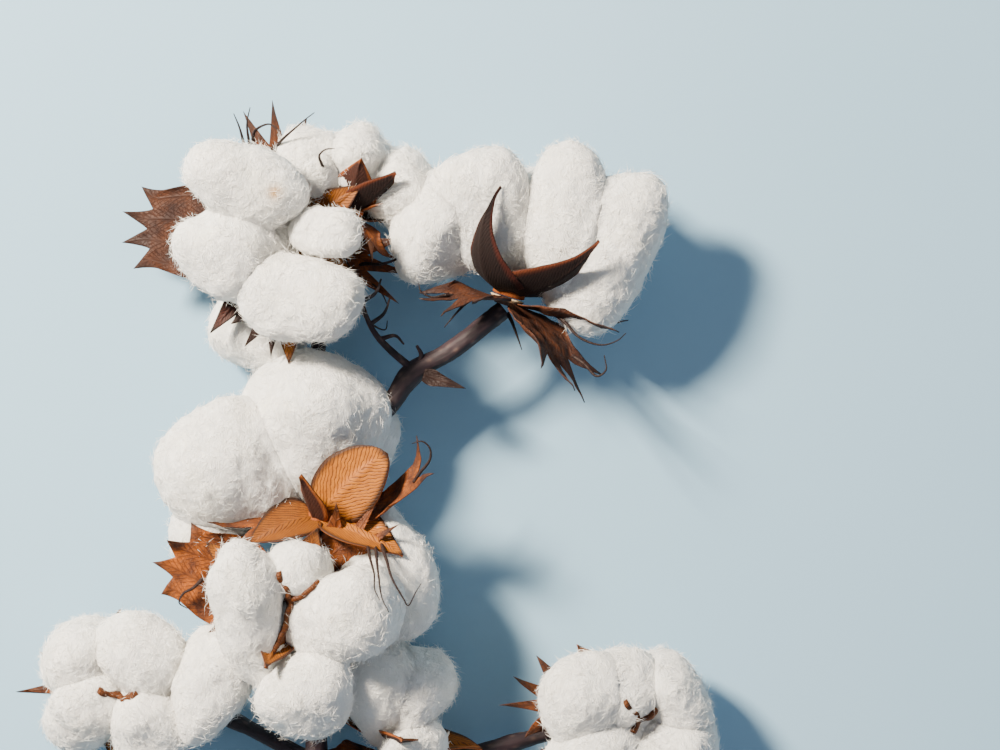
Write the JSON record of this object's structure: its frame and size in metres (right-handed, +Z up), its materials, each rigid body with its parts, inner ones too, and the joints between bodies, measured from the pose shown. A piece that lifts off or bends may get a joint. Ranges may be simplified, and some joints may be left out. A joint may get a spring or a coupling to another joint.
{
  "type": "cotton branch with open bolls",
  "caption": "Fruiting top of a cotton stem, cut and lying on its back: fluffy open bolls in dry burs with toothed bracts on dark woody branches.",
  "frame": {"origin": "middle of the underside of the bounding box, on the surface that the branch lies on", "axes": "+Y along the main stem from its cut end to its tip, +X to the right of the stem seen from above, +Z up from the surface, towards the viewer of the open bolls"},
  "size_m": [0.2456, 0.2632, 0.0722],
  "materials": {
    "bark": "dry dark purple-brown bark, finely ridged",
    "bur": "dry husk, rough dark brown outside, smoother and orange-tan inside",
    "bract": "dry papery leaf, veined, brown to orange",
    "lint": "soft white cotton fibre"
  },
  "bodies": {
    "root": {"main_stem": "bark", "right_branch": "bark", "left_branch": "bark", "low_branch": "bark", "stalk_a": "bark", "stalk_top": "bark", "stalk_b": "bark", "stalk_e": "bark", "stalk_h": "bark", "withered_shoot": "bur", "dead_leaf": "bract", "boll_a_bur": "bur", "boll_top_bur": "bur", "boll_d_bur": "bur", "boll_e_bur": "bur", "boll_b_bur": "bur", "boll_f_bur": "bur", "boll_g_bur": "bur", "boll_h_bur": "bur", "boll_a_bracts": "bract", "boll_top_bracts": "bract", "boll_d_bracts": "bract", "boll_e_bracts": "bract", "boll_b_bracts": "bract", "boll_f_bracts": "bract", "boll_g_bracts": "bract", "boll_h_bracts": "bract", "boll_a_lint": "lint", "boll_top_lint": "lint", "boll_d_lint": "lint", "boll_e_lint": "lint", "boll_b_lint": "lint", "boll_f_lint": "lint", "boll_g_lint": "lint", "boll_h_lint": "lint"}
  },
  "joints": []
}
